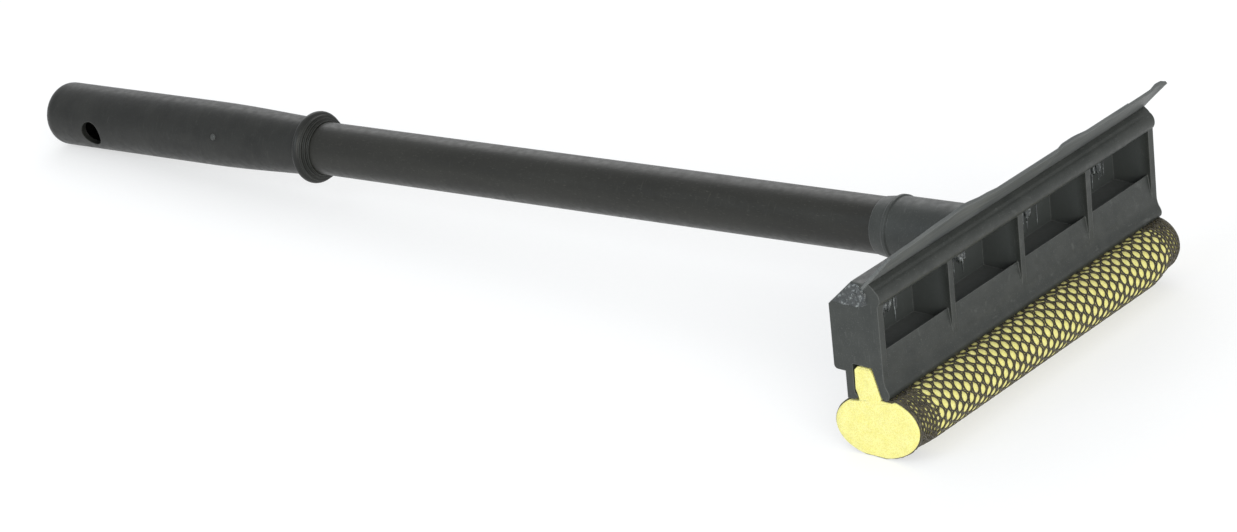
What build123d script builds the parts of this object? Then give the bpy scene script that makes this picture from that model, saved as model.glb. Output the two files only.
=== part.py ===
from build123d import *
import math
import os

# Windscreen squeegee: a moulded head with a rubber blade on its top and a netted
# foam sponge below, on a tubular handle with a moulded grip.
# X runs along the head, +Y from the head to the grip, +Z up. The squeegee lies as
# it does on a table: on its sponge and on the end of its grip, both at Z = 0.

# Driving dimensions, in millimetres and degrees
HEAD_LENGTH = 203.2
HEAD_BACK = 14.5
HEAD_FRONT = 10.5
WALL = 2.6
END_PLATE = 3.6
RIB_THICKNESS = 3.2
RIB_PITCH = HEAD_LENGTH / 4

TUBE_RADIUS = 12.7
TUBE_WALL = 1.6
SOCKET_RADIUS = 14.2
SOCKET_END = 54.0
SOCKET_LIP = 0.6
SOCKET_TAPER = 7.0
AXIS_HEIGHT = 30.3
HANDLE_TO_HEAD = 4.6

GRIP_RADIUS = 15.7
GRIP_NECK_RADIUS = 13.8
COLLAR_RADIUS = 17.2
COLLAR_FRONT = 397.6
COLLAR_BACK = 405.4
GRIP_END = 586.2
GRIP_CAP = 10.0
HANG_HOLE_RADIUS = 6.35
HANG_HOLE_AT = 548.6
HANG_HOLE_DROP = 2.5
TUBE_END = 522.0

BLADE_LEAN = 42.5
BLADE_THICKNESS = 1.6
BLADE_REACH = 22.8
BLADE_ROOT = 6.5
BEAD_RADIUS = 4.6
BEAD_AT = (-7.2, 48.2)

SPONGE_DROP = 24.9
SPONGE_HALF_WIDTH = 21.6
SPONGE_HALF_HEIGHT = 14.0
SPONGE_CENTRE = (-5.2, -10.6)
SPONGE_TILT = -9.0
SPONGE_NECK = 5.0
SLOT_ROOF = 16.4
NET_THICKNESS = 0.8
NET_MARGIN = 1.2
FIT = 0.05

# The handle slopes so that the grip's end and the sponge touch the table together
GRIP_DOME = GRIP_END - GRIP_CAP
HANDLE_DROP = math.degrees(math.asin((SPONGE_DROP + AXIS_HEIGHT - GRIP_RADIUS) / GRIP_DOME))
HEAD_LEAN = HANDLE_TO_HEAD - HANDLE_DROP
lean = math.radians(HEAD_LEAN)
drop = math.radians(HANDLE_DROP)

# The origin is midway between the sponge's front and the grip's end
FRONT_REACH = -SPONGE_CENTRE[0] + SPONGE_HALF_WIDTH + NET_THICKNESS - 0.26
CAP_REACH = math.hypot(GRIP_CAP * math.cos(drop), GRIP_RADIUS * math.sin(drop))
BACK_REACH = GRIP_DOME * math.cos(drop) + CAP_REACH - AXIS_HEIGHT * math.sin(lean)
HEAD_Y = (FRONT_REACH - BACK_REACH) / 2

# section: the head's cross-section, x towards the handle and y up; extrusions run along X
section = Plane(
    origin=(0, HEAD_Y, SPONGE_DROP),
    x_dir=(0, math.cos(lean), math.sin(lean)),
    z_dir=(1, 0, 0),
)
handle_start = section.from_local_coords(Vector(0, AXIS_HEIGHT, 0))
handle_dir = Vector(0, math.cos(drop), -math.sin(drop))
handle_axis = Axis(handle_start, handle_dir)
# across: at right angles to the handle. along: holds the axis, its y runs along the handle
across = Plane(origin=handle_start, x_dir=(1, 0, 0), z_dir=handle_dir)
along = Plane(origin=handle_start, x_dir=(1, 0, 0), z_dir=(0, math.sin(drop), math.cos(drop)))

os.makedirs("parts", exist_ok=True)


def save(builder, name):
    """Label a finished piece and write its STEP file."""
    builder.part.label = name
    export_step(builder.part, f"parts/{name}.step")


def blade_point(along_blade, off_face=0.0):
    """A point on the blade's front face, measured from where it leans on the bead."""
    angle = math.radians(BLADE_LEAN)
    outward = BEAD_RADIUS + off_face
    return (
        BEAD_AT[0] + outward * math.cos(angle) - along_blade * math.sin(angle),
        BEAD_AT[1] + outward * math.sin(angle) + along_blade * math.cos(angle),
    )


def bead_point(degrees):
    """A point on the bead, turned anticlockwise from straight towards the handle."""
    angle = math.radians(degrees)
    return (BEAD_AT[0] + BEAD_RADIUS * math.cos(angle), BEAD_AT[1] + BEAD_RADIUS * math.sin(angle))


def blade_section(clearance):
    """The blade's strip and its round root, with a clearance all round."""
    reach = BLADE_REACH if clearance == 0 else BLADE_ROOT
    with BuildSketch() as outline:
        with BuildLine():
            Polyline(
                blade_point(-BLADE_ROOT, -clearance),
                blade_point(reach, -clearance),
                blade_point(reach, BLADE_THICKNESS + clearance),
                blade_point(-BLADE_ROOT, BLADE_THICKNESS + clearance),
                close=True,
            )
        make_face()
        with Locations(blade_point(-BLADE_ROOT, BLADE_THICKNESS / 2)):
            Circle(BLADE_THICKNESS + clearance)
    return outline.sketch


def bulb_section(grow, table_gap):
    """The sponge's bulb: a tilted ellipse, flat where it stands over the table."""
    depth = 30
    back = section.to_local_coords(Vector(0, HEAD_Y + 60, table_gap))
    front = section.to_local_coords(Vector(0, HEAD_Y - 60, table_gap))
    with BuildSketch() as outline:
        with Locations(SPONGE_CENTRE):
            Ellipse(SPONGE_HALF_WIDTH + grow, SPONGE_HALF_HEIGHT + grow, rotation=SPONGE_TILT)
        with BuildLine():
            Polyline(
                (back.X, back.Y),
                (front.X, front.Y),
                (front.X, front.Y - depth),
                (back.X, back.Y - depth),
                close=True,
            )
        make_face(mode=Mode.SUBTRACT)
    return outline.sketch


def head_clearance():
    """The space under the head that the slot's back wall and the skirt's foot take up."""
    with BuildSketch() as outline:
        with BuildLine():
            Polyline((4.85, 20), (4.85, 3.3), (3.3, 1.3), (4.4, -0.2), (9.1, -0.2), (9.1, 20), close=True)
        make_face()
        with BuildLine():
            Polyline((-8.6, 20), (-8.6, 2.4), (-13.4, 2.4), (-13.4, 20), close=True)
        make_face()
    return outline.sketch


# Head: one moulding. A sloped roof with the blade channel, four open windows between
# ribs, a slot for the sponge with a skirt in front of it, and the handle's socket.
ROOF_RIDGE = 54.4
ROOF_BACK = 41.8
SLOT_STEP = 12.3
SLOT_BACK = 8.8
LEDGE = 23.6
WINDOW_FLOOR = 18.3
WINDOW_ROOF = 43.9
WINDOW_DEPTH = 19.8
SKIRT_FOOT = 2.8
SKIRT_JOIN = (-11.4, 8.4)
LIP_TOP = (-8.6, 53.2)

with BuildPart() as head_body:
    with BuildSketch(section):
        with BuildLine():
            Polyline(
                (HEAD_BACK, ROOF_BACK),
                (1.8, ROOF_RIDGE),
                (-4.0, ROOF_RIDGE),
                blade_point(4.4),
                LIP_TOP,
                (-HEAD_FRONT, 51.0),
                (-HEAD_FRONT, 12.6),
            )
            Spline(
                (-HEAD_FRONT, 12.6),
                SKIRT_JOIN,
                (-12.7, 5.6),
                (-12.3, 3.6),
                (-10.6, SKIRT_FOOT),
                tangents=[(0, -1), (1, 0)],
            )
            Polyline(
                (-10.6, SKIRT_FOOT),
                (-8.8, 3.6),
                (-SPONGE_NECK, SLOT_ROOF),
                (SPONGE_NECK, SLOT_ROOF),
                (SPONGE_NECK, 3.4),
                (3.6, 1.4),
                (5.2, 0),
                (SLOT_BACK, 0),
                (SLOT_BACK, SLOT_STEP),
                (HEAD_BACK, SLOT_STEP),
                (HEAD_BACK, ROOF_BACK),
            )
        make_face()
        with Locations(BEAD_AT):
            Circle(BEAD_RADIUS)
        add(blade_section(FIT), mode=Mode.SUBTRACT)
    extrude(amount=HEAD_LENGTH / 2, both=True)
    fillet(head_body.edges().filter_by(Axis.X).group_by(Axis.Y)[-1], 1.8)
    # Windows: deep pockets behind a raised ledge, one between each pair of ribs
    for index in range(4):
        middle = (index - 1.5) * RIB_PITCH
        left = END_PLATE if index == 0 else RIB_THICKNESS / 2
        right = END_PLATE if index == 3 else RIB_THICKNESS / 2
        start = middle - RIB_PITCH / 2 + left
        with BuildSketch(section.offset(start)):
            with BuildLine():
                Polyline(
                    (-HEAD_FRONT - 2, LEDGE),
                    (-HEAD_FRONT + 2.2, LEDGE),
                    (-HEAD_FRONT + 2.8, WINDOW_FLOOR),
                    (WINDOW_DEPTH - HEAD_FRONT, WINDOW_FLOOR),
                    (WINDOW_DEPTH - HEAD_FRONT, 42.4),
                    (WINDOW_DEPTH - HEAD_FRONT - 1.5, WINDOW_ROOF),
                    bead_point(247),
                    bead_point(232),
                    bead_point(217),
                    (-HEAD_FRONT - 2, bead_point(217)[1]),
                    close=True,
                )
            make_face()
        extrude(amount=RIB_PITCH - left - right, mode=Mode.SUBTRACT)
        # Shallow panel in the back, behind each window
        with BuildSketch(section.offset(start + 2.0)):
            with BuildLine():
                Polyline(
                    (HEAD_BACK + 1, SLOT_STEP + 5),
                    (HEAD_BACK, SLOT_STEP + 5),
                    (HEAD_BACK - 2.2, SLOT_STEP + 7),
                    (HEAD_BACK - 2.2, ROOF_BACK - 5),
                    (HEAD_BACK, ROOF_BACK - 3),
                    (HEAD_BACK + 1, ROOF_BACK - 3),
                    close=True,
                )
            make_face()
        extrude(amount=RIB_PITCH - left - right - 4.0, mode=Mode.SUBTRACT)
    # The skirt's front is set back between the ribs, down to where they run out in it
    for index in range(4):
        middle = (index - 1.5) * RIB_PITCH
        left = END_PLATE if index == 0 else RIB_THICKNESS / 2
        right = END_PLATE if index == 3 else RIB_THICKNESS / 2
        with BuildSketch(section.offset(middle - RIB_PITCH / 2 + left)):
            with BuildLine():
                Spline(
                    (-HEAD_FRONT + 1.7, LEDGE + 0.2),
                    (-HEAD_FRONT + 0.75, 17.0),
                    SKIRT_JOIN,
                    tangents=[(-0.1, -1), (-0.27, -1)],
                )
                Polyline(
                    SKIRT_JOIN,
                    (-HEAD_FRONT - 3, SKIRT_JOIN[1]),
                    (-HEAD_FRONT - 3, LEDGE + 0.2),
                    (-HEAD_FRONT + 1.7, LEDGE + 0.2),
                )
            make_face()
        extrude(amount=RIB_PITCH - left - right, mode=Mode.SUBTRACT)
    # Handle socket: a sleeve with a low raised lip, tapering down to the tube
    with BuildSketch(along):
        with BuildLine():
            Polyline(
                (0, HEAD_BACK - WALL),
                (SOCKET_RADIUS, HEAD_BACK - WALL),
                (SOCKET_RADIUS, SOCKET_END - 3.2),
                (SOCKET_RADIUS + SOCKET_LIP, SOCKET_END - 2.2),
                (SOCKET_RADIUS + SOCKET_LIP, SOCKET_END - 0.8),
                (SOCKET_RADIUS - 0.2, SOCKET_END),
                (TUBE_RADIUS + 0.35, SOCKET_END + SOCKET_TAPER),
                (0, SOCKET_END + SOCKET_TAPER),
                close=True,
            )
        make_face()
    revolve(axis=handle_axis)
    with BuildSketch(across.offset(HEAD_BACK + 3.5)):
        Circle(TUBE_RADIUS + FIT)
    extrude(amount=SOCKET_END + SOCKET_TAPER, mode=Mode.SUBTRACT)
save(head_body, "head_body")

# Wiper blade: a flat rubber strip that leans forward on the bead, with a round root
with BuildPart() as wiper_blade:
    with BuildSketch(section):
        add(blade_section(0))
    extrude(amount=HEAD_LENGTH / 2, both=True)
save(wiper_blade, "wiper_blade")

# Sponge: a neck held in the head's slot, and a bulb below it
SPONGE_TOP = SLOT_ROOF - 0.3
with BuildPart() as sponge:
    with BuildSketch(section):
        with BuildLine():
            Polyline(
                (SPONGE_NECK - 0.3, SPONGE_TOP),
                (SPONGE_NECK - 0.3, 3.0),
                (3.0, 1.2),
                (3.0, -8.0),
                (-8.0, -8.0),
                (-8.2, 3.2),
                (-SPONGE_NECK + 0.3, SPONGE_TOP),
                close=True,
            )
        make_face()
        add(bulb_section(0, NET_THICKNESS + FIT))
        add(head_clearance(), mode=Mode.SUBTRACT)
    extrude(amount=HEAD_LENGTH / 2, both=True)
save(sponge, "sponge")

# Scrub net: a knitted sleeve drawn over the bulb, open along the sponge's neck
with BuildPart() as scrub_net:
    with BuildSketch(section):
        add(bulb_section(NET_THICKNESS, 0))
        add(bulb_section(FIT, NET_THICKNESS), mode=Mode.SUBTRACT)
        add(head_clearance(), mode=Mode.SUBTRACT)
        with Locations((-2.4, 5)):
            Rectangle(14.5, 16, mode=Mode.SUBTRACT)
    extrude(amount=HEAD_LENGTH / 2 - NET_MARGIN, both=True)
save(scrub_net, "scrub_net")

# Handle tube: plain tube from the bottom of the socket to inside the grip
with BuildPart() as handle_tube:
    with BuildSketch(across.offset(HEAD_BACK + 3.6)):
        Circle(TUBE_RADIUS)
        Circle(TUBE_RADIUS - TUBE_WALL, mode=Mode.SUBTRACT)
    extrude(amount=TUBE_END - HEAD_BACK - 3.6)
save(handle_tube, "handle_tube")

# Grip: a moulded sleeve with a stepped collar in front, a tapered neck, a domed end
# and a hang hole right through it
GRIP_FULL_AT = 472.0
STEP_COUNT = 3
STEP_LENGTH = 1.3
STEP_RISE = 1.3
with BuildPart() as hand_grip:
    with BuildSketch(along):
        with BuildLine():
            steps = [(TUBE_RADIUS + FIT, COLLAR_FRONT)]
            radius = COLLAR_RADIUS - STEP_COUNT * STEP_RISE
            for index in range(STEP_COUNT):
                front = COLLAR_FRONT + index * STEP_LENGTH
                steps.append((radius + index * STEP_RISE, front))
                steps.append((radius + index * STEP_RISE, front + STEP_LENGTH))
            Polyline(*steps)
            shoulder = steps[-1]
            ThreePointArc(
                shoulder,
                (COLLAR_RADIUS, shoulder[1] + 1.0),
                (GRIP_NECK_RADIUS + 0.6, COLLAR_BACK),
            )
            Polyline((GRIP_NECK_RADIUS + 0.6, COLLAR_BACK), (GRIP_NECK_RADIUS, COLLAR_BACK + 0.8))
            Spline(
                (GRIP_NECK_RADIUS, COLLAR_BACK + 0.8),
                (14.8, 434.0),
                (GRIP_RADIUS, GRIP_FULL_AT),
                tangents=[(0.03, 1), (0, 1)],
            )
            Line((GRIP_RADIUS, GRIP_FULL_AT), (GRIP_RADIUS, GRIP_DOME))
            Spline(
                (GRIP_RADIUS, GRIP_DOME),
                (GRIP_RADIUS * math.cos(math.pi / 4), GRIP_DOME + GRIP_CAP * math.sin(math.pi / 4)),
                (0, GRIP_END),
                tangents=[(0, 1), (-1, 0)],
            )
            Polyline(
                (0, GRIP_END),
                (0, GRIP_END - 3.0),
                (TUBE_RADIUS - 3.0, GRIP_DOME + 6.0),
                (TUBE_RADIUS, GRIP_DOME - 2.0),
                (TUBE_RADIUS, TUBE_END + 1.5),
                (TUBE_RADIUS + FIT, TUBE_END + 0.5),
                (TUBE_RADIUS + FIT, COLLAR_FRONT),
            )
        make_face()
    revolve(axis=handle_axis)
    hole = handle_axis.position + handle_dir * HANG_HOLE_AT - along.z_dir * HANG_HOLE_DROP
    with BuildSketch(Plane(origin=hole, z_dir=(1, 0, 0))):
        Circle(HANG_HOLE_RADIUS)
    extrude(amount=GRIP_RADIUS + 1, both=True, mode=Mode.SUBTRACT)
save(hand_grip, "hand_grip")
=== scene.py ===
import math
import random

import bmesh
import bpy
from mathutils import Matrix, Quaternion, Vector, noise


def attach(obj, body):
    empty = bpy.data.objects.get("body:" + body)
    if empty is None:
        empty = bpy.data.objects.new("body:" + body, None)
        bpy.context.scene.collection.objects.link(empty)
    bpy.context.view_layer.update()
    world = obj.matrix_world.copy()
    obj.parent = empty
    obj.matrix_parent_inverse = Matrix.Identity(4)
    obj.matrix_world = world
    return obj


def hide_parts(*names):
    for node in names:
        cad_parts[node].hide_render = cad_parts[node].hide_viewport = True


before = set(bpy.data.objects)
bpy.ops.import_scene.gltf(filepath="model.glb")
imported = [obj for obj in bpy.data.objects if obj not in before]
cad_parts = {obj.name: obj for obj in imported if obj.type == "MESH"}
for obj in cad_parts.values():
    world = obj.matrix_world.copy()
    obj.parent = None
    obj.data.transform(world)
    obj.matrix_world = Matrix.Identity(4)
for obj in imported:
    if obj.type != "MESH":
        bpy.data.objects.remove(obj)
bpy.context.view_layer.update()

MM = 0.001

# The head's cross-section frame: b runs towards the handle, h upwards, both in mm.
HEAD_Y = -278.592
HEAD_Z = 24.9
HEAD_LEAN = math.radians(0.669)
HALF_LENGTH = 101.6
WINDOW_FLOOR = 18.3
WINDOW_ROOF = 43.9

# The handle's axis
HANDLE_START = Vector((0, HEAD_Y - 0.354, 55.20)) * MM
HANDLE_DROP = math.radians(3.931)

# The sponge's bulb: a tilted ellipse in the head's cross-section
BULB_CENTRE = (-5.2, -10.6)
BULB_HALF_WIDTH = 21.6
BULB_HALF_HEIGHT = 14.0
BULB_TILT = math.radians(-9)
BULB_BACK_START = math.radians(57)
BULB_FRONT_START = math.radians(102)
NECK_TOP = 15.5

# The point that the bulb shrinks towards where it is drawn in, and the levels of the
# head's underside that press on it in front of the neck and behind it
DRAWN_TO = Vector((-4.5, 1.0))
ROOF_IN_FRONT = 2.3
ROOF_BEHIND = -0.6

# The far end of the bulb, which rounds off
ROUNDED_FROM = 93.5
ROUNDED_LENGTH = 7.9

# The net's knitted cells, in mm along the bulb and around it, with their threads' radius
CELL_PITCH = 4.15
BUNCHED_PITCH = 1.75
CELL_ROUND = 5.3
THREAD = 0.36
TIE = THREAD * 0.7
NET_START = -100.6
NET_END = ROUNDED_FROM + ROUNDED_LENGTH * 1.45
NET_TOP_EDGE = 0.3

# How far a cell is open on each side of its middle, as a share of its length, where the
# threads run and where the foam swells, and the height of that swell
THREAD_REACH = 0.44
FOAM_REACH = 0.46
SWELL = 0.62

# The blade, measured up its front face from where it leans on the bead
BEAD_AT = (-7.2, 48.2)
BEAD_RADIUS = 4.6
BLADE_LEAN = 42.5
BLADE_REACH = 22.8
BLADE_ROOT = 6.5
BLADE_THICKNESS = 1.6


def head_point(x, b, h):
    """A point in metres from millimetres in the head's frame."""
    y = HEAD_Y + b * math.cos(HEAD_LEAN) - h * math.sin(HEAD_LEAN)
    z = HEAD_Z + b * math.sin(HEAD_LEAN) + h * math.cos(HEAD_LEAN)
    return Vector((x, y, z)) * MM


def handle_point(along, radius, turn):
    """A point at a distance along the handle, turned from its top towards -X."""
    forward = Vector((0, math.cos(HANDLE_DROP), -math.sin(HANDLE_DROP)))
    up = Vector((0, math.sin(HANDLE_DROP), math.cos(HANDLE_DROP)))
    out = up * math.cos(turn) + Vector((-math.sin(turn), 0, 0))
    return HANDLE_START + (forward * along + out * radius) * MM


def wander(x, y, size, seed):
    """Smooth noise from -1 to 1 with features of about the given size."""
    return noise.noise(Vector((x / size, y / size, seed)))


def smooth_step(value, start, end):
    """Rises smoothly from 0 at the start to 1 at the end, which may be below the start."""
    share = min(1.0, max(0.0, (value - start) / (end - start)))
    return share * share * (3 - 2 * share)


# Materials ---------------------------------------------------------------------------


def new_material(name, roughness, specular=0.5):
    material = bpy.data.materials.new(name)
    material.use_nodes = True
    shader = material.node_tree.nodes["Principled BSDF"]
    shader.inputs["Roughness"].default_value = roughness
    shader.inputs["Specular IOR Level"].default_value = specular
    return material, material.node_tree, shader


def noise_node(tree, scale, detail=3.0, stretch=(1, 1, 1)):
    """Noise in object space; stretch above 1 makes it finer along that axis."""
    place = tree.nodes.new("ShaderNodeTexCoord")
    mapping = tree.nodes.new("ShaderNodeMapping")
    mapping.inputs["Scale"].default_value = stretch
    texture = tree.nodes.new("ShaderNodeTexNoise")
    texture.inputs["Scale"].default_value = scale
    texture.inputs["Detail"].default_value = detail
    tree.links.new(place.outputs["Object"], mapping.inputs["Vector"])
    tree.links.new(mapping.outputs["Vector"], texture.inputs["Vector"])
    return texture.outputs["Fac"]


def spread(tree, value, low, high, out_low=0.0, out_high=1.0):
    """Maps a value's range onto another, clamped."""
    node = tree.nodes.new("ShaderNodeMapRange")
    node.inputs["From Min"].default_value = low
    node.inputs["From Max"].default_value = high
    node.inputs["To Min"].default_value = out_low
    node.inputs["To Max"].default_value = out_high
    tree.links.new(value, node.inputs["Value"])
    return node.outputs["Result"]


def tint(tree, share, first, second):
    """A colour between two, either of which may be a colour or a socket."""
    node = tree.nodes.new("ShaderNodeMix")
    node.data_type = "RGBA"
    tree.links.new(share, node.inputs[0])
    for socket, colour in ((node.inputs[6], first), (node.inputs[7], second)):
        if isinstance(colour, tuple):
            socket.default_value = (*colour, 1)
        else:
            tree.links.new(colour, socket)
    return node.outputs[2]


def bump(tree, height, distance, strength=1.0, normal=None):
    """A normal tilted by a relief of the given depth in metres."""
    node = tree.nodes.new("ShaderNodeBump")
    node.inputs["Strength"].default_value = strength
    node.inputs["Distance"].default_value = distance
    tree.links.new(height, node.inputs["Height"])
    if normal is not None:
        tree.links.new(normal, node.inputs["Normal"])
    return node.outputs["Normal"]


def rounded_normal(tree, radius):
    """A normal that rounds the edges to a radius in metres."""
    node = tree.nodes.new("ShaderNodeBevel")
    node.samples = 6
    node.inputs["Radius"].default_value = radius
    return node.outputs["Normal"]


def edge_mask(tree, rounded):
    """Near 1 along outer and inner edges, 0 on open faces."""
    geometry = tree.nodes.new("ShaderNodeNewGeometry")
    product = tree.nodes.new("ShaderNodeVectorMath")
    product.operation = "DOT_PRODUCT"
    tree.links.new(rounded, product.inputs[0])
    tree.links.new(geometry.outputs["Normal"], product.inputs[1])
    return spread(tree, product.outputs["Value"], 0.995, 0.85)


def moulded_plastic(name, dark, pale, worn, roughness, grain, stretch=(1, 1, 1)):
    """Satin moulded plastic: mottled colour, fine grain, paler and smoother edges."""
    material, tree, shader = new_material(name, roughness, 0.3)
    rounded = rounded_normal(tree, 0.0007)
    mottle = spread(tree, noise_node(tree, 90, 4, stretch), 0.32, 0.68)
    fine = noise_node(tree, 2200, 2, stretch)
    dust_and_painted_fill = spread(tree, fine, 0.62, 0.75, 0.0, 0.45)
    scuffs = spread(tree, noise_node(tree, 240, 5, (1, 5, 0.6)), 0.62, 0.74, 0.0, 0.25)
    colour = tint(tree, mottle, dark, pale)
    colour = tint(tree, dust_and_painted_fill, colour, worn)
    colour = tint(tree, scuffs, colour, worn)
    edges = spread(tree, edge_mask(tree, rounded), 0.0, 1.0, 0.0, 0.65)
    colour = tint(tree, edges, colour, worn)
    tree.links.new(colour, shader.inputs["Base Color"])
    satin = spread(tree, noise_node(tree, 320, 4), 0.3, 0.7, roughness - 0.07, roughness + 0.08)
    tree.links.new(satin, shader.inputs["Roughness"])
    waves = bump(tree, noise_node(tree, 110, 2, stretch), 0.00035, 0.5, rounded)
    grained = bump(tree, fine, grain, 0.6, waves)
    tree.links.new(grained, shader.inputs["Normal"])
    return material


def in_windows(tree):
    """Near 1 on the walls inside the head's windows, 0 outside them."""
    place = tree.nodes.new("ShaderNodeTexCoord")
    parts = tree.nodes.new("ShaderNodeSeparateXYZ")
    tree.links.new(place.outputs["Object"], parts.inputs["Vector"])
    away = tree.nodes.new("ShaderNodeMath")
    away.operation = "ABSOLUTE"
    tree.links.new(parts.outputs["X"], away.inputs[0])
    floor = HEAD_Z + WINDOW_FLOOR
    roof = HEAD_Z + WINDOW_ROOF
    # Each limit: a coordinate, where it turns to 0 and where it turns to 1, in mm
    limits = (
        (away.outputs["Value"], HALF_LENGTH - 0.8, HALF_LENGTH - 1.2),
        (parts.outputs["Y"], HEAD_Y - 9.5, HEAD_Y - 5.5),
        (parts.outputs["Y"], HEAD_Y + 9.8, HEAD_Y + 9.6),
        (parts.outputs["Z"], roof + 0.7, roof + 0.1),
        (parts.outputs["Z"], floor - 1.1, floor - 0.5),
    )
    share = None
    for value, outside, inside in limits:
        limit = spread(tree, value, outside * MM, inside * MM)
        if share is None:
            share = limit
            continue
        product = tree.nodes.new("ShaderNodeMath")
        product.operation = "MULTIPLY"
        tree.links.new(share, product.inputs[0])
        tree.links.new(limit, product.inputs[1])
        share = product.outputs["Value"]
    return share


def head_plastic():
    """The head's moulded plastic, paler inside its windows as a painted fill light that lifts the shade
    there, palest on their up-facing floors.
    """
    material = moulded_plastic(
        "head_plastic", (0.026, 0.029, 0.027), (0.036, 0.039, 0.036), (0.13, 0.135, 0.13), 0.42, 0.00006
    )
    tree = material.node_tree
    shader = tree.nodes["Principled BSDF"]
    colour_before_fill = shader.inputs["Base Color"].links[0].from_socket
    geometry = tree.nodes.new("ShaderNodeNewGeometry")
    parts = tree.nodes.new("ShaderNodeSeparateXYZ")
    tree.links.new(geometry.outputs["Normal"], parts.inputs["Vector"])
    # Painted fill light: inside the windows the colour turns paler to lift the shade, and paler still on
    # faces that look up.
    level = spread(tree, parts.outputs["Z"], 0.5, 0.9)
    dust_and_painted_fill = tint(tree, level, (0.080, 0.087, 0.086), (0.14, 0.147, 0.145))
    painted_fill = spread(tree, in_windows(tree), 0.0, 1.0, 0.0, 0.6)
    tree.links.new(tint(tree, painted_fill, colour_before_fill, dust_and_painted_fill), shader.inputs["Base Color"])
    return material


def melted_plastic():
    """Plastic that was melted to hold the foam: glossy, lumpy, greyer on its peaks."""
    material, tree, shader = new_material("melted_plastic", 0.3, 0.6)
    lumps = noise_node(tree, 700, 5)
    peaks = spread(tree, lumps, 0.52, 0.68)
    colour = tint(tree, peaks, (0.026, 0.030, 0.031), (0.17, 0.185, 0.185))
    tree.links.new(colour, shader.inputs["Base Color"])
    tree.links.new(spread(tree, lumps, 0.3, 0.7, 0.42, 0.14), shader.inputs["Roughness"])
    tree.links.new(bump(tree, lumps, 0.0006, 0.9), shader.inputs["Normal"])
    return material


def rubber():
    """Dark rubber with faint streaks along its length, and paler edges: partly rubbed wear, partly a painted
    highlight along the edges.
    """
    material, tree, shader = new_material("blade_rubber", 0.5, 0.45)
    rounded = rounded_normal(tree, 0.0003)
    streaks = noise_node(tree, 160, 4, (0.25, 4, 4))
    blotches = noise_node(tree, 45, 3)
    fine = noise_node(tree, 3000, 2)
    streaked = spread(tree, streaks, 0.35, 0.68)
    colour = tint(tree, streaked, (0.060, 0.066, 0.067), (0.100, 0.106, 0.104))
    colour = tint(tree, spread(tree, blotches, 0.4, 0.7, 0.0, 0.5), colour, (0.12, 0.125, 0.118))
    # Paler edges: rubbed wear, and a painted highlight where the edges catch the light.
    edges = spread(tree, edge_mask(tree, rounded), 0.0, 1.0, 0.0, 0.7)
    colour = tint(tree, edges, colour, (0.21, 0.21, 0.195))
    tree.links.new(colour, shader.inputs["Base Color"])
    tree.links.new(spread(tree, blotches, 0.3, 0.7, 0.44, 0.58), shader.inputs["Roughness"])
    soft = bump(tree, streaks, 0.0002, 0.35, rounded)
    tree.links.new(bump(tree, fine, 0.00003, 0.5, soft), shader.inputs["Normal"])
    return material


def foam():
    """Open-cell foam: pale yellow, with fine pores and soft mottling."""
    material, tree, shader = new_material("foam", 0.9, 0.2)
    place = tree.nodes.new("ShaderNodeTexCoord")
    pores = tree.nodes.new("ShaderNodeTexVoronoi")
    pores.inputs["Scale"].default_value = 1700
    tree.links.new(place.outputs["Object"], pores.inputs["Vector"])
    walls = spread(tree, pores.outputs["Distance"], 0.15, 0.7)
    cloud = spread(tree, noise_node(tree, 260, 5), 0.35, 0.65)
    colour = tint(tree, cloud, (0.74, 0.69, 0.245), (0.775, 0.73, 0.295))
    colour = tint(tree, spread(tree, walls, 0.55, 1.0, 0.0, 0.5), colour, (0.60, 0.53, 0.14))
    tree.links.new(colour, shader.inputs["Base Color"])
    tree.links.new(spread(tree, cloud, 0.0, 1.0, 0.82, 0.96), shader.inputs["Roughness"])
    shader.inputs["Subsurface Weight"].default_value = 0.12
    shader.inputs["Subsurface Radius"].default_value = (1.0, 0.8, 0.25)
    shader.inputs["Subsurface Scale"].default_value = 0.0012
    shader.inputs["Sheen Weight"].default_value = 0.1
    coarse = bump(tree, noise_node(tree, 500, 4), 0.0005, 0.5)
    tree.links.new(bump(tree, walls, 0.00025, 0.6, coarse), shader.inputs["Normal"])
    return material


def yarn():
    """Dark brown-black knitted thread, with its fibres as fine relief."""
    material, tree, shader = new_material("net_yarn", 0.65, 0.35)
    fibres = noise_node(tree, 3800, 3)
    patches = noise_node(tree, 700, 3)
    colour = tint(tree, spread(tree, patches, 0.42, 0.66), (0.018, 0.015, 0.008), (0.070, 0.058, 0.030))
    colour = tint(tree, spread(tree, fibres, 0.5, 0.75, 0.0, 0.75), colour, (0.17, 0.145, 0.085))
    tree.links.new(colour, shader.inputs["Base Color"])
    tree.links.new(spread(tree, fibres, 0.3, 0.7, 0.55, 0.75), shader.inputs["Roughness"])
    shader.inputs["Sheen Weight"].default_value = 0.15
    tree.links.new(bump(tree, fibres, 0.00012, 0.8), shader.inputs["Normal"])
    return material


def floor_material():
    """A plain white studio sweep with a trace of paper tooth."""
    material, tree, shader = new_material("floor", 0.85, 0.1)
    tooth = noise_node(tree, 400, 2)
    tree.links.new(tint(tree, tooth, (0.40, 0.405, 0.41), (0.42, 0.42, 0.42)), shader.inputs["Base Color"])
    shader.inputs["Emission Color"].default_value = (1, 1, 1, 1)
    shader.inputs["Emission Strength"].default_value = 0.57
    return material


# Mesh helpers ------------------------------------------------------------------------


def turn_outward(mesh):
    """Turns every face of a closed mesh to look outwards, whichever way it was listed."""
    shape = bmesh.new()
    shape.from_mesh(mesh)
    bmesh.ops.recalc_face_normals(shape, faces=shape.faces)
    shape.to_mesh(mesh)
    shape.free()


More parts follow.
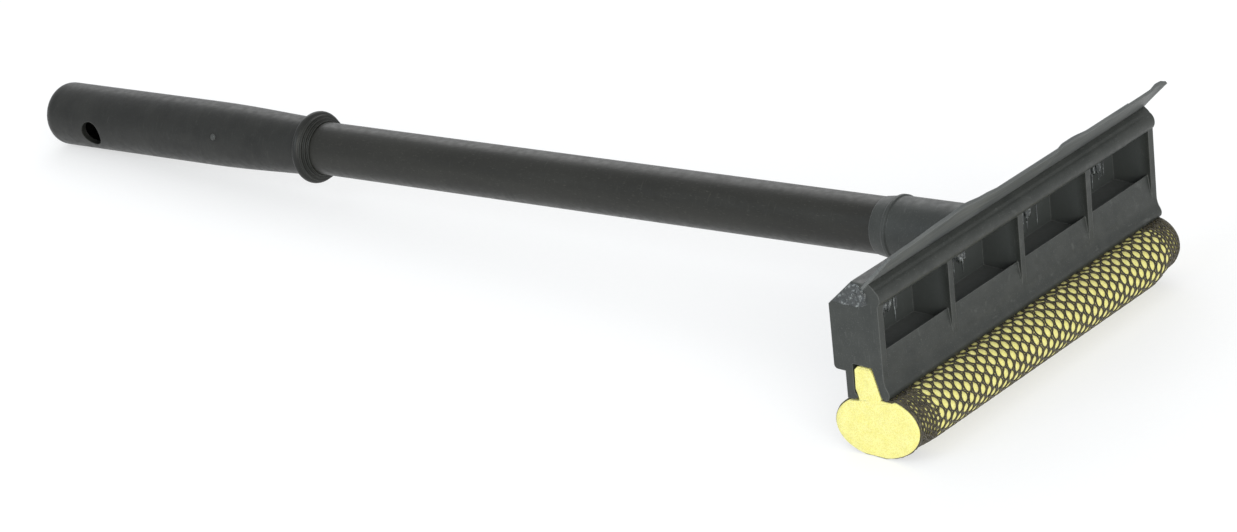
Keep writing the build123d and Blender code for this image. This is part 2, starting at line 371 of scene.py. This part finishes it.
def make_piece(name, points, faces, material, slot=None):
    """A smooth-shaded mesh object from points in metres. With a slot, it rides on the body."""
    mesh = bpy.data.meshes.new(name)
    mesh.from_pydata(points, [], faces)
    mesh.validate()
    if slot:
        turn_outward(mesh)
    for face in mesh.polygons:
        face.use_smooth = True
    piece = bpy.data.objects.new(name, mesh)
    bpy.context.scene.collection.objects.link(piece)
    piece.data.materials.append(material)
    if slot:
        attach(piece, "root")
    return piece


def join_rows(faces, rows, closed):
    """Quads between rows of point numbers, joined round where closed."""
    for row, following in zip(rows, rows[1:]):
        count = len(row)
        for index in range(count if closed else count - 1):
            after = (index + 1) % count
            faces.append((row[index], row[after], following[after], following[index]))


def add_tube(points, faces, path, radius, sides=5):
    """A closed tube with rounded ends along a path in metres."""
    side = None
    rows = []
    last = len(path) - 1
    for index, centre in enumerate(path):
        ahead = path[min(index + 1, last)] - path[max(index - 1, 0)]
        ahead.normalize()
        if side is None:
            side = ahead.orthogonal()
        side = (side - ahead * side.dot(ahead)).normalized()
        other = ahead.cross(side)
        first = len(points)
        for turn in range(sides):
            angle = math.tau * turn / sides
            points.append(centre + (side * math.cos(angle) + other * math.sin(angle)) * radius)
        rows.append(list(range(first, first + sides)))
    join_rows(faces, rows, True)
    for row, tip, inward in ((rows[0], path[0], 1), (rows[-1], path[-1], -1)):
        tip_number = len(points)
        points.append(tip - (path[1] - path[0]).normalized() * radius * 0.5 * inward)
        for index in range(sides):
            faces.append((row[index], row[(index + 1) % sides], tip_number))


# Sponge and net ----------------------------------------------------------------------


def bulb_point(angle):
    """A point on the bulb's outline and the direction outwards, in the head's frame."""
    across = BULB_HALF_WIDTH * math.cos(angle)
    upward = BULB_HALF_HEIGHT * math.sin(angle)
    out_b = BULB_HALF_HEIGHT * math.cos(angle)
    out_h = BULB_HALF_WIDTH * math.sin(angle)
    size = math.hypot(out_b, out_h)
    tilt_cos = math.cos(BULB_TILT)
    tilt_sin = math.sin(BULB_TILT)
    place = Vector((
        BULB_CENTRE[0] + across * tilt_cos - upward * tilt_sin,
        BULB_CENTRE[1] + across * tilt_sin + upward * tilt_cos,
    ))
    outward = Vector((out_b * tilt_cos - out_h * tilt_sin, out_b * tilt_sin + out_h * tilt_cos)) / size
    return place, outward


def measure_bulb():
    """Angles round the bulb, from behind the neck to in front of it, with their distances."""
    steps = 600
    start = BULB_BACK_START
    end = BULB_FRONT_START - math.tau
    table = [(0.0, start)]
    before = bulb_point(start)[0]
    for index in range(1, steps + 1):
        angle = start + (end - start) * index / steps
        here = bulb_point(angle)[0]
        table.append((table[-1][0] + (here - before).length, angle))
        before = here
    return table


BULB_TABLE = measure_bulb()
BULB_ROUND = BULB_TABLE[-1][0]


def angle_at(distance):
    """The bulb's angle at a distance round it."""
    share = min(max(distance / BULB_ROUND, 0.0), 1.0)
    low = 0
    high = len(BULB_TABLE) - 1
    while high - low > 1:
        middle = (low + high) // 2
        if BULB_TABLE[middle][0] < share * BULB_ROUND:
            low = middle
        else:
            high = middle
    first, second = BULB_TABLE[low], BULB_TABLE[high]
    part = (share * BULB_ROUND - first[0]) / (second[0] - first[0])
    return first[1] + (second[1] - first[1]) * part


def along_bulb(place):
    """X and the share of its full size that the bulb has at a place along it.

    The net draws the bulb in towards both hems, and the far end rounds off.
    """
    pinch = 1 - 0.035 * smooth_step(-place, 84, 96) + 0.035 * smooth_step(-place, 99.5, 101.4)
    pinch -= 0.11 * smooth_step(place, 76, ROUNDED_FROM)
    if place <= ROUNDED_FROM:
        return place, pinch
    turn = min((place - ROUNDED_FROM) / ROUNDED_LENGTH, 1.5)
    return ROUNDED_FROM + ROUNDED_LENGTH * math.sin(turn), pinch - 0.30 * (1 - math.cos(turn))


def sleeve_point(place, distance, lift, rest):
    """A point lift mm outside the bulb, pressed by the head above and the table below.

    rest is the least height over the table, in mm.
    """
    x, size = along_bulb(place)
    flat, outward = bulb_point(angle_at(distance))
    flat = flat + outward * lift
    flat = DRAWN_TO + (flat - DRAWN_TO) * size
    roof = (ROOF_IN_FRONT if flat.x < 0 else ROOF_BEHIND) - THREAD + lift
    under_head = smooth_step(flat.x, -15.5, -13.0) * (1 - smooth_step(flat.x, 9.0, 10.5))
    if flat.y > roof:
        flat.y += (roof - flat.y) * under_head
    point = head_point(x, flat.x, flat.y)
    point.z = max(point.z, rest * MM)
    return point


def net_columns():
    """Each column's place along the bulb, half width, cell length and offset in cells."""
    columns = []
    place = NET_START + 0.5
    while True:
        near = smooth_step(place, NET_START + 9, NET_START + 15)
        far = 1 - smooth_step(place, ROUNDED_FROM - 11, ROUNDED_FROM - 4)
        share = min(near, far)
        pitch = BUNCHED_PITCH + (CELL_PITCH - BUNCHED_PITCH) * share
        cell = CELL_ROUND if share > 0.4 else CELL_ROUND / 2
        place += pitch / 2
        if place > NET_END:
            return columns
        columns.append((place, pitch / 2 - 0.15, cell, len(columns) % 2 * 0.5))
        place += pitch / 2


COLUMNS = net_columns()


def stray(place, distance, column_width):
    """How far the net has been pulled out of line here, in mm along and round."""
    tangle = 1.0 if column_width < 1.5 else 0.35
    return (
        tangle * 0.8 * wander(place, distance, 5.0, 1.5) + 0.5 * wander(place, distance, 22.0, 7.5),
        tangle * 0.8 * wander(place, distance, 5.0, 4.5) + 1.2 * wander(place, distance, 30.0, 9.5),
    )


def cell_wall(distance, column):
    """Half the width of a column's cell at a distance round the bulb."""
    _, half_width, cell, offset = column
    narrowest = 0.2
    phase = (distance / cell + offset) % 1.0
    reach = (phase - 0.5) / THREAD_REACH
    oval = max(0.0, 1 - reach * reach) ** 0.5
    return narrowest + (half_width - narrowest) * oval


def column_near(place):
    """The column of cells whose middle is nearest to a place along the bulb."""
    return min(COLUMNS, key=lambda column: abs(column[0] - place))


def cell_bulge(place, distance, column):
    """How far the foam swells through the net at a point, in mm."""
    centre, half_width, cell, offset = column
    shift_along, shift_round = stray(place, distance, half_width)
    round_place = distance - shift_round
    phase = (round_place / cell + offset) % 1.0 - 0.5
    across = (place - shift_along - centre) / half_width
    around = phase / FOAM_REACH
    reach = across * across + around * around
    swell = SWELL * min(1.0, half_width / 1.9)
    return swell * max(0.0, 1 - reach) ** 0.6 - 0.12


def foam_neck(side):
    """The neck's outline on one side, from the middle of its top down to the bulb."""
    if side > 0:
        corners = [(0, NECK_TOP), (2.6, NECK_TOP), (4.2, NECK_TOP - 1.6), (4.5, 5.2)]
        corners += [(3.4, 2.2), (3.0, 0.4), (3.6, -0.5), (6.4, -0.7)]
        counts = [2, 2, 8, 3, 2, 2, 2]
    else:
        corners = [(0, NECK_TOP), (-3.0, NECK_TOP), (-4.8, NECK_TOP - 1.6), (-6.4, 8.6)]
        corners += [(-7.6, 4.6), (-8.1, 3.2), (-8.3, 2.3)]
        counts = [2, 2, 6, 5, 3, 3]
    outline = []
    for start, end, count in zip(corners, corners[1:], counts):
        for step in range(count):
            share = step / count
            outline.append((start[0] + (end[0] - start[0]) * share, start[1] + (end[1] - start[1]) * share))
    return outline


def foam_ring(place, rows_round, swollen):
    """One ring of the foam's surface: down the back, under the bulb and up the front."""
    column = column_near(place)
    x, _ = along_bulb(place)
    back = [head_point(x, b, h) for b, h in foam_neck(1)]
    front = [head_point(x, b, h) for b, h in foam_neck(-1)]
    bulb = []
    for index in range(rows_round + 1):
        distance = BULB_ROUND * index / rows_round
        lift = cell_bulge(place, distance, column) * swollen
        edge = min(distance, BULB_ROUND - distance)
        lift *= smooth_step(edge, 0, 3)
        bulb.append(sleeve_point(place, distance, lift, 0.55 - 0.5 * lift * swollen))
    return back + bulb + front[:0:-1]


def cap_rows(points, faces, ring, bulge, direction):
    """Closes a ring with rows of points across it, swelling softly in the direction of X."""
    count = len(ring)
    half = count // 2
    across = 22
    rows = []
    for index in range(1, half):
        back = points[ring[index]]
        front = points[ring[-index]]
        row = [ring[index]]
        for step in range(1, across):
            share = step / across
            point = back.lerp(front, share)
            edge = min(share, 1 - share) * (front - back).length / MM
            inward = smooth_step(min(edge, index * 0.7, (half - index) * 0.9), 0, 2.5)
            ripple = 0.25 * wander(point.y / MM, point.z / MM, 3.5, 2.5)
            ripple += 0.35 * wander(point.y / MM, point.z / MM, 9.0, 6.5)
            point.x += direction * inward * (bulge + ripple) * MM
            row.append(len(points))
            points.append(point)
        row.append(ring[-index])
        rows.append(row)
    join_rows(faces, rows, False)
    top = rows[0]
    bottom = rows[-1]
    for index in range(across):
        faces.append((ring[0], top[index + 1], top[index]))
        faces.append((ring[half], bottom[index], bottom[index + 1]))


def add_foam(material):
    """The sponge: a neck in the slot, and a bulb that swells through the net's cells."""
    rows_round = 151
    points = []
    faces = []
    rows = []
    places = [-HALF_LENGTH, -HALF_LENGTH + 0.25]
    while places[-1] < ROUNDED_FROM + ROUNDED_LENGTH * 1.5 - 0.35:
        places.append(places[-1] + 0.7)
    for number, place in enumerate(places):
        swollen = smooth_step(place, -100.8, -99.5)
        ring = foam_ring(place, rows_round, swollen)
        if number == 0:
            # The cut end is drawn in a little, for a soft edge
            middle = sum(ring, Vector()) / len(ring)
            ring = [point.lerp(middle, 0.012) for point in ring]
            for point in ring:
                point.x = -HALF_LENGTH * MM
        first = len(points)
        points.extend(ring)
        rows.append(list(range(first, first + len(ring))))
    join_rows(faces, rows, True)
    cap_rows(points, faces, rows[0], 0.1, -1)
    cap_rows(points, faces, rows[-1], 0.1, 1)
    piece = make_piece("foam_sponge", points, faces, material, "foam")
    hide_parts("sponge")


def strand_path(column, side, start, end):
    """One wavy thread along a column, on one side of its cells."""
    path = []
    count = round((end - start) / column[2] * 8)
    for step in range(count + 1):
        distance = start + (end - start) * step / count
        width = cell_wall(distance, column)
        along, around = stray(column[0], distance, column[1])
        height = THREAD * (1.15 if side > 0 else 0.75)
        place = column[0] + side * width + along
        path.append(sleeve_point(place, distance + around, height, THREAD))
    return path


def tie_path(column, distance):
    """A short thread across the gap between one cell and the next."""
    path = []
    reach = column[1] * 1.12
    for step in range(5):
        share = step / 2 - 1
        along, around = stray(column[0], distance, column[1])
        place = column[0] + reach * share + along
        sag = 0.35 * math.cos(share * 3)
        path.append(sleeve_point(place, distance + around + sag, TIE, THREAD * 0.8))
    return path


def add_net(material):
    """The scrub net: threads round every cell, tied between the cells, bunched at both ends."""
    points = []
    faces = []
    start = NET_TOP_EDGE
    end = BULB_ROUND - 1.0
    for column in COLUMNS:
        for side in (-1, 1):
            add_tube(points, faces, strand_path(column, side, start, end), THREAD * MM)
        gaps = int(BULB_ROUND / column[2])
        for index in range(gaps + 1):
            distance = (index - column[3]) * column[2]
            if start < distance < end:
                add_tube(points, faces, tie_path(column, distance), TIE * MM, 4)
    add_bunched_threads(points, faces)
    piece = make_piece("scrub_net_threads", points, faces, material, "net_yarn")
    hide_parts("scrub_net")


def add_bunched_threads(points, faces):
    """Loose threads that cross each other in the gathered hems at both ends."""
    chance = random.Random(7)
    for low, high, count in ((NET_START, NET_START + 12, 100), (ROUNDED_FROM - 4, ROUNDED_FROM + 11, 55)):
        for _ in range(count):
            place = chance.uniform(low, high)
            distance = chance.uniform(1.5, BULB_ROUND - 8)
            slant = chance.uniform(-1.2, 1.2)
            length = chance.uniform(3, 8)
            sway = chance.uniform(0, math.tau)
            path = []
            for step in range(9):
                share = step / 8
                along = place + slant * length * (share - 0.5) + 0.5 * math.sin(sway + 7 * share)
                along = min(max(along, NET_START), NET_END)
                path.append(sleeve_point(along, distance + length * share, THREAD * 1.7, THREAD))
            add_tube(points, faces, path, THREAD * 0.8 * MM, 4)
    for place in (NET_START, NET_START + 0.5):
        path = []
        for step in range(150):
            distance = 1.0 + (BULB_ROUND - 2.0) * step / 149
            along = place + 0.25 * wander(distance, place, 3.0, 5.5)
            path.append(sleeve_point(along, distance, THREAD, THREAD))
        add_tube(points, faces, path, THREAD * 1.2 * MM)


# Blade -------------------------------------------------------------------------------

# How far forward the free edge leans at places along the blade, in mm and degrees
BLADE_WAVES = (
    (-HALF_LENGTH, 42.5),
    (-90, 41.3),
    (-62, 39.0),
    (-48, 37.4),
    (-34, 40.3),
    (-22, 42.3),
    (5, 42.2),
    (18, 42.5),
    (24, 39.9),
    (30, 39.8),
    (44, 42.3),
    (80, 42.6),
    (90, 42.4),
    (95, 40.0),
    (98.5, 40.4),
    (HALF_LENGTH, 43.8),
)


def blade_lean(x):
    """The free edge's lean at x, smoothly between the places given above."""
    for (left, first), (right, second) in zip(BLADE_WAVES, BLADE_WAVES[1:]):
        if x <= right:
            return first + (second - first) * smooth_step(x, left, right)
    return BLADE_WAVES[-1][1]


def blade_point(x, up, off_face):
    """A point up the blade and off its front face, bent to the wave at its free edge."""
    angle = math.radians(BLADE_LEAN)
    outward = Vector((math.cos(angle), math.sin(angle)))
    upward = Vector((-math.sin(angle), math.cos(angle)))
    foot = Vector(BEAD_AT) + outward * BEAD_RADIUS
    bend = math.tan(math.radians(BLADE_LEAN - blade_lean(x)))
    push = bend * max(0.0, up) ** 2 / BLADE_REACH
    flat = foot + upward * up + outward * (off_face + push)
    return head_point(x, flat.x, flat.y)


def blade_thickness(up):
    """The blade thins a little towards its free edge."""
    return BLADE_THICKNESS - 0.35 * smooth_step(up, 0, BLADE_REACH)


def blade_ring(x, inset):
    """The blade's outline at x: up the front, over the free edge, down the back, round the root."""
    steps = 16
    ring = []
    for index in range(steps + 1):
        up = -BLADE_ROOT + (BLADE_REACH - inset + BLADE_ROOT) * index / steps
        ring.append(blade_point(x, up, inset))
    width = blade_thickness(BLADE_REACH) - 2 * inset
    for share in (0.3, 0.7):
        ring.append(blade_point(x, BLADE_REACH - inset * 0.8, inset + width * share))
    for index in range(steps, -1, -1):
        up = -BLADE_ROOT + (BLADE_REACH - inset + BLADE_ROOT) * index / steps
        ring.append(blade_point(x, up, blade_thickness(up) - inset))
    for turn in range(9):
        angle = math.radians(30 + 300 * turn / 8)
        up = -BLADE_ROOT - 0.9 * BLADE_THICKNESS + BLADE_THICKNESS * math.cos(angle)
        ring.append(blade_point(x, up, BLADE_THICKNESS / 2 + BLADE_THICKNESS * math.sin(angle)))
    return ring


def add_blade(material):
    """The wiping blade: a thin rubber strip with a slight wave along its free edge."""
    points = []
    faces = []
    rows = []
    count = 170
    chamfer = 0.15
    reach = HALF_LENGTH - chamfer
    stations = [(-HALF_LENGTH, chamfer)]
    for index in range(count + 1):
        stations.append((-reach + 2 * reach * index / count, 0.0))
    stations.append((HALF_LENGTH, chamfer))
    for x, inset in stations:
        ring = blade_ring(x, inset)
        first = len(points)
        points.extend(ring)
        rows.append(list(range(first, first + len(ring))))
    join_rows(faces, rows, True)
    faces.append(rows[0])
    faces.append(rows[-1])
    piece = make_piece("rubber_blade", points, faces, material, "blade_rubber")
    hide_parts("wiper_blade")


# Head details ------------------------------------------------------------------------


# The melted plastic's main lumps: their place in the head's frame, size and height
STAKE_LUMPS = ((-2.6, 50.4, 1.3, 1.2), (0.8, 48.8, 1.0, 0.8), (-4.2, 47.4, 1.1, 0.9))

# Its outline: from the back of the roof to the lip, under the roof's slope and the crest
STAKE_BACK = 13.6
STAKE_FRONT = -5.6
STAKE_CREST = 54.0
CREST_FRONT = -1.2


def stake_height(b, h):
    """How far the melted plastic stands out of the head's end, in mm."""
    rough = 0.5 + 0.5 * wander(b, h, 1.6, 3.5) + 0.35 * wander(b, h, 0.8, 8.5)
    lumps = 0.0
    for centre_b, centre_h, size, height in STAKE_LUMPS:
        away = ((b - centre_b) ** 2 + (h - centre_h) ** 2) / size ** 2
        lumps += height * math.exp(-away)
    return 0.25 + 0.75 * rough + lumps


def add_stake(name, side, material):
    """The rough patch on an end of the head, where the plastic was melted over."""
    columns = 44
    rows_up = 30
    points = []
    faces = []
    rows = []
    for column in range(columns + 1):
        share = column / columns
        b = STAKE_BACK + (STAKE_FRONT - STAKE_BACK) * share
        low = 42.6 + 0.7 * wander(b, 0, 3.0, 1.5) + 2.0 * smooth_step(b, 0, STAKE_FRONT)
        high = min(41.9 + (14.5 - b) * 0.985, STAKE_CREST)
        if b < CREST_FRONT:
            high = STAKE_CREST - (CREST_FRONT - b) * 0.95
        high = max(high, low + 0.4)
        row = []
        for step in range(rows_up + 1):
            part = step / rows_up
            h = low + (high - low) * part
            edge = min(part, 1 - part) * (high - low)
            edge = min(edge, column * 0.45, (columns - column) * 0.45)
            inward = smooth_step(edge, 0, 1.0)
            stand = -0.3 + (0.3 + stake_height(b, h)) * inward
            row.append(len(points))
            points.append(head_point(side * (HALF_LENGTH + stand), b, h))
        rows.append(row)
    join_rows(faces, rows, False)
    rim = [row[0] for row in rows] + rows[-1][1:] + [row[-1] for row in rows[-2::-1]] + rows[0][-2:0:-1]
    faces.append(rim)
    make_piece(name, points, faces, material, "head_plastic")


def add_drop(points, faces, centre, radii, seed):
    """A small irregular drop with its long axis upright."""
    rings = 7
    around = 10
    rows = []
    for ring in range(1, rings):
        tilt = math.pi * ring / rings
        row = []
        for turn in range(around):
            angle = math.tau * turn / around
            way = Vector((math.sin(tilt) * math.cos(angle), math.sin(tilt) * math.sin(angle), math.cos(tilt)))
            size = 1 + 0.45 * noise.noise(way * 1.6 + Vector((seed, 0, 0)))
            row.append(len(points))
            points.append(centre + Vector((way.x * radii[0], way.y * radii[1], way.z * radii[2])) * size * MM)
        rows.append(row)
    join_rows(faces, rows, True)
    for row, pole in ((rows[0], 1), (rows[-1], -1)):
        tip = len(points)
        points.append(centre + Vector((0, 0, pole * radii[2])) * MM)
        for index in range(around):
            faces.append((row[index], row[(index + 1) % around], tip))


def add_window_lumps(material):
    """Melted drips that hang from each window's roof, beside its rib."""
    chance = random.Random(11)
    points = []
    faces = []
    for window in range(4):
        rib = -HALF_LENGTH + window * HALF_LENGTH / 2
        clump = rib + chance.uniform(8.5, 11.0)
        for _ in range(12):
            wide = chance.uniform(0.5, 1.3)
            tall = chance.uniform(1.8, 3.4)
            x = clump + chance.gauss(0, 1.7)
            centre = head_point(x, chance.uniform(-8.6, -6.5), WINDOW_ROOF - tall * 0.7)
            add_drop(points, faces, centre, (wide, 0.8, tall), chance.uniform(0, 50))
        for _ in range(5):
            wide = chance.uniform(0.2, 0.4)
            tall = chance.uniform(3.0, 6.5)
            x = clump + chance.uniform(-3, 9)
            centre = head_point(x, chance.uniform(-7.5, -4.0), WINDOW_ROOF - tall * 0.9)
            add_drop(points, faces, centre, (wide, wide, tall), chance.uniform(0, 50))
    make_piece("window_lumps", points, faces, material, "head_plastic")


def add_grip_pip(material):
    """The small moulding mark on the side of the grip."""
    around = 20
    points = []
    faces = []
    rows = []
    along = 460.0
    turn = math.radians(71.5)
    grip_radius = 15.7
    skin = grip_radius - 0.05
    for radius, height in ((1.7, -0.3), (1.6, 0.15), (1.2, 0.42), (0.6, 0.55), (0.15, 0.57)):
        row = []
        for step in range(around):
            angle = math.tau * step / around
            spot_turn = turn + radius * math.cos(angle) / grip_radius
            row.append(len(points))
            points.append(handle_point(along + radius * math.sin(angle), skin + height, spot_turn))
        rows.append(row)
    join_rows(faces, rows, True)
    faces.append(rows[-1])
    faces.append(rows[0])
    make_piece("grip_pip", points, faces, material, "grip_plastic")


# Studio ------------------------------------------------------------------------------


def add_camera():
    """A long lens from the front left, looking down on the head."""
    middle = Vector((0, HEAD_Y * MM, 0))
    location = middle + Vector((-1.38253, -1.03485, 0.82595))
    aim = middle + Vector((0.01411, 0.23126, -0.00766))
    data = bpy.data.cameras.new("camera")
    data.sensor_width = 36
    data.lens = 129.66
    data.clip_start = 0.05
    data.clip_end = 50
    camera = bpy.data.objects.new("camera", data)
    bpy.context.scene.collection.objects.link(camera)
    camera.location = location
    roll = Quaternion((0, 0, 1), math.radians(-7.03))
    camera.rotation_mode = "QUATERNION"
    camera.rotation_quaternion = (aim - location).to_track_quat("-Z", "Y") @ roll
    bpy.context.scene.camera = camera


def add_floor():
    """The plain ground, wide enough to fill every view."""
    half = 12.0
    corners = [(-half, -half, 0), (half, -half, 0), (half, half, 0), (-half, half, 0)]
    floor = make_piece("floor", corners, [(0, 1, 2, 3)], floor_material())


def add_area_light(name, location, aim, size, power, colour=(1, 1, 1)):
    """A soft rectangular light of the given size and power, turned to its aim."""
    data = bpy.data.lights.new(name, "AREA")
    data.shape = "RECTANGLE"
    data.size, data.size_y = size
    data.energy = power
    data.color = colour
    light = bpy.data.objects.new(name, data)
    bpy.context.scene.collection.objects.link(light)
    light.location = location
    light.rotation_mode = "QUATERNION"
    light.rotation_quaternion = (Vector(aim) - Vector(location)).to_track_quat("-Z", "Y")


def add_lights():
    """A bright even surround, with soft lights behind, on the left and in front."""
    world = bpy.data.worlds.new("studio")
    bpy.context.scene.world = world
    world.use_nodes = True
    background = world.node_tree.nodes["Background"]
    background.inputs["Color"].default_value = (0.97, 0.985, 1.0, 1)
    background.inputs["Strength"].default_value = 0.78
    add_area_light("behind", (1.2, 1.0, 1.1), (0, 0, 0), (1.3, 1.3), 8)
    add_area_light("left", (-1.9, 0.2, 1.1), (0, -0.1, 0), (1.2, 1.2), 17, (0.84, 0.93, 1.0))
    add_area_light("front", (-1.3, -2.1, 0.8), (0, -0.15, 0.03), (1.4, 1.0), 32, (1.0, 1.0, 0.94))
    bpy.context.scene.view_settings.view_transform = "Standard"


# Finishes of the CAD nodes -----------------------------------------------------------


def dress(node, material):
    """Puts a material on every slot of a CAD node's object."""
    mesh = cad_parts[node].data
    mesh.materials.clear()
    mesh.materials.append(material)


def pip_plastic():
    """The grip's plastic on its moulding mark, paler than the grip as a painted glint."""
    # The pale colours paint a glint on the mark.
    return moulded_plastic(
        "pip_plastic", (0.04, 0.042, 0.04), (0.06, 0.062, 0.06), (0.13, 0.13, 0.12), 0.35, 0.00003
    )


def dress_cad():
    """Gives the CAD nodes that stay visible their plastics."""
    drawn = (1, 0.2, 1)
    tube = moulded_plastic(
        "tube_plastic", (0.011, 0.011, 0.009), (0.017, 0.017, 0.014), (0.06, 0.06, 0.05), 0.38, 0.00005, drawn
    )
    grip = moulded_plastic(
        "grip_plastic", (0.009, 0.0095, 0.0085), (0.015, 0.0155, 0.0138), (0.06, 0.062, 0.055), 0.40, 0.00005
    )
    dress("head_body", head_plastic())
    dress("handle_tube", tube)
    dress("hand_grip", grip)


add_camera()
add_floor()
add_lights()
dress_cad()
melted = melted_plastic()
add_foam(foam())
add_net(yarn())
add_blade(rubber())
add_stake("near_stake", -1, melted)
add_stake("far_stake", 1, melted)
add_window_lumps(melted)
add_grip_pip(pip_plastic())
